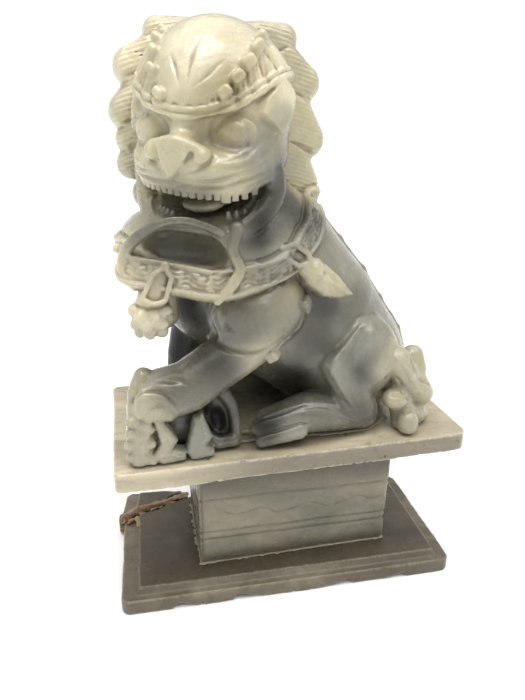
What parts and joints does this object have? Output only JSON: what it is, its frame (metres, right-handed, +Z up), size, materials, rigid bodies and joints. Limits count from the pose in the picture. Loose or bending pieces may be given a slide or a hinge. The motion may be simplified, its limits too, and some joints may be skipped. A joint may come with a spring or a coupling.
{
  "type": "guardian lion statue",
  "caption": "Carved soapstone guardian lion with a cub under its paw, seated on a slab over a solid pedestal block and a moulded base plate; a free-standing ornament.",
  "frame": {"origin": "on the table, under the middle of the base plate", "axes": "+Z up, +X along the slab towards the lion's tail, -Y towards the side the lion looks out of"},
  "size_m": [0.168, 0.0894, 0.25],
  "materials": {
    "base_stone": "waxed warm grey soapstone, scuffed pale on its edges, dirt in the cove",
    "block_stone": "polished grey-green soapstone with paler edges and dirt in the cut lines",
    "slab_stone": "waxed cream soapstone with grey and brown mottling",
    "lion_stone": "polished translucent soapstone, cream at the head and mane, grey-green at the body, near black under the belly",
    "old_glue": "old tan glue, dull and flaky where it has squeezed out"
  },
  "bodies": {
    "root": {"base_plate": "base_stone", "base_plate_corner": "base_stone", "break_filler": "old_glue", "lower_glue_bed": "old_glue", "pedestal_block": "block_stone", "upper_glue_bed": "old_glue", "top_slab": "slab_stone", "lion_glue_bed": "old_glue", "lion": "lion_stone"}
  },
  "joints": []
}
